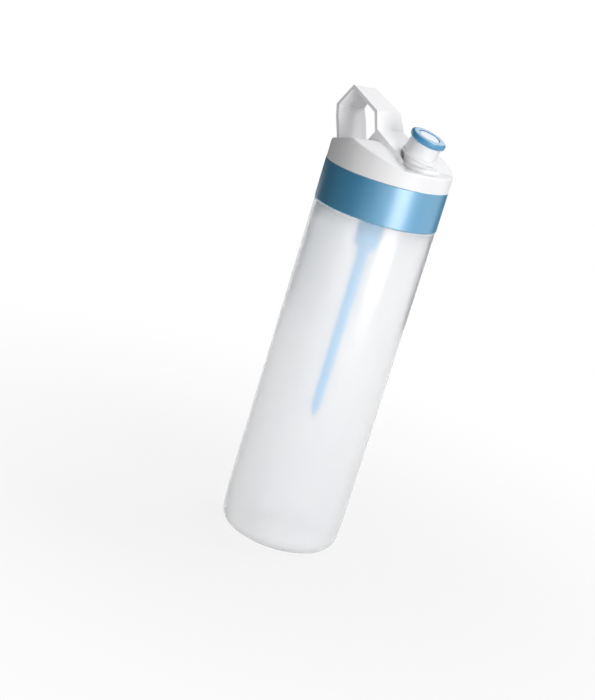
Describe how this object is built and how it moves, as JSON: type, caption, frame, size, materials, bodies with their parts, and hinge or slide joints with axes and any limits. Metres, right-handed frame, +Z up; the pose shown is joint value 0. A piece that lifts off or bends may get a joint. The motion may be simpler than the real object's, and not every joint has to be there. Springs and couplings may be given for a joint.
{
  "type": "fruit infuser water bottle",
  "caption": "Frosted water bottle with a screw lid, push-pull spout, carry loop and a central skewer that holds fruit in the water.",
  "frame": {"origin": "centre of the base, on the bottle's axis and in the plane it stands on", "axes": "+Z up along the bottle's axis, +X towards the spout, -X towards the foot of the carry handle"},
  "size_m": [0.0781, 0.0736, 0.2716],
  "materials": {
    "frosted_body": "frosted translucent plastic",
    "band_blue": "glossy light blue",
    "lid_white": "satin white",
    "liner_white": "plain white moulding",
    "spout_white": "satin white",
    "plug_pale": "satin pale blue white",
    "lip_blue": "soft glossy blue",
    "skewer_blue": "satin light blue",
    "seal_silicone": "translucent silicone"
  },
  "bodies": {
    "bottle": {"bottle_body": "frosted_body"},
    "lid_seal": {"lid_gasket": "seal_silicone"},
    "lid": {"lid_liner": "liner_white", "strainer_disc": "liner_white", "grip_band": "band_blue", "lid_shell": "lid_white", "carry_handle": "lid_white", "spout_base": "spout_white", "spout_plug": "plug_pale", "spout_o_ring": "seal_silicone"},
    "nozzle": {"nozzle": "spout_white", "nozzle_lip": "lip_blue"},
    "skewer": {"infuser_skewer": "skewer_blue", "skewer_o_ring": "seal_silicone"}
  },
  "joints": [
    {"name": "lid_rise", "type": "slide", "parent": "bottle", "child": "lid_seal", "axis": [0, 0, 1], "range_m": [0, 0.00601]},
    {"name": "lid_turn", "type": "hinge", "parent": "lid_seal", "child": "lid", "pos_m": [0, 0, 0.2275], "axis": [0, 0, 1], "range_deg": [0, 540]},
    {"name": "nozzle_pull", "type": "slide", "parent": "lid", "child": "nozzle", "axis": [0.2588, 0, 0.9659], "range_m": [0, 0.0052]},
    {"name": "skewer_pull", "type": "slide", "parent": "lid", "child": "skewer", "axis": [0, 0, -1], "range_m": [0, 0.0145]}
  ],
  "couplings": [
    {"joint": "lid_rise", "follows": "lid_turn", "m_per_rad": 0.00063662}
  ]
}
